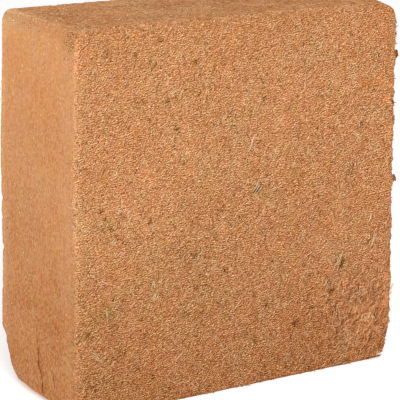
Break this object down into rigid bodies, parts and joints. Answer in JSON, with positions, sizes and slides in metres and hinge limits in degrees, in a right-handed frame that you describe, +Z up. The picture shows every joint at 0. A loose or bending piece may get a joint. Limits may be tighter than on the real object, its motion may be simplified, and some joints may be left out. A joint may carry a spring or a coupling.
{
  "type": "coconut coir bale",
  "caption": "Compressed square block of coconut coir with rough granular faces and smooth pressed walls, standing on a wall.",
  "frame": {"origin": "on the ground, under the middle of the bale", "axes": "+Z up, +Y from the front rough face to the back one, +X to the right, seen from the front"},
  "size_m": [0.3047, 0.1222, 0.3008],
  "materials": {
    "coir": "matte, granular and fibrous, orange brown, smoother and lighter on the pressed walls"
  },
  "bodies": {
    "root": {"coir_bale": "coir"}
  },
  "joints": []
}
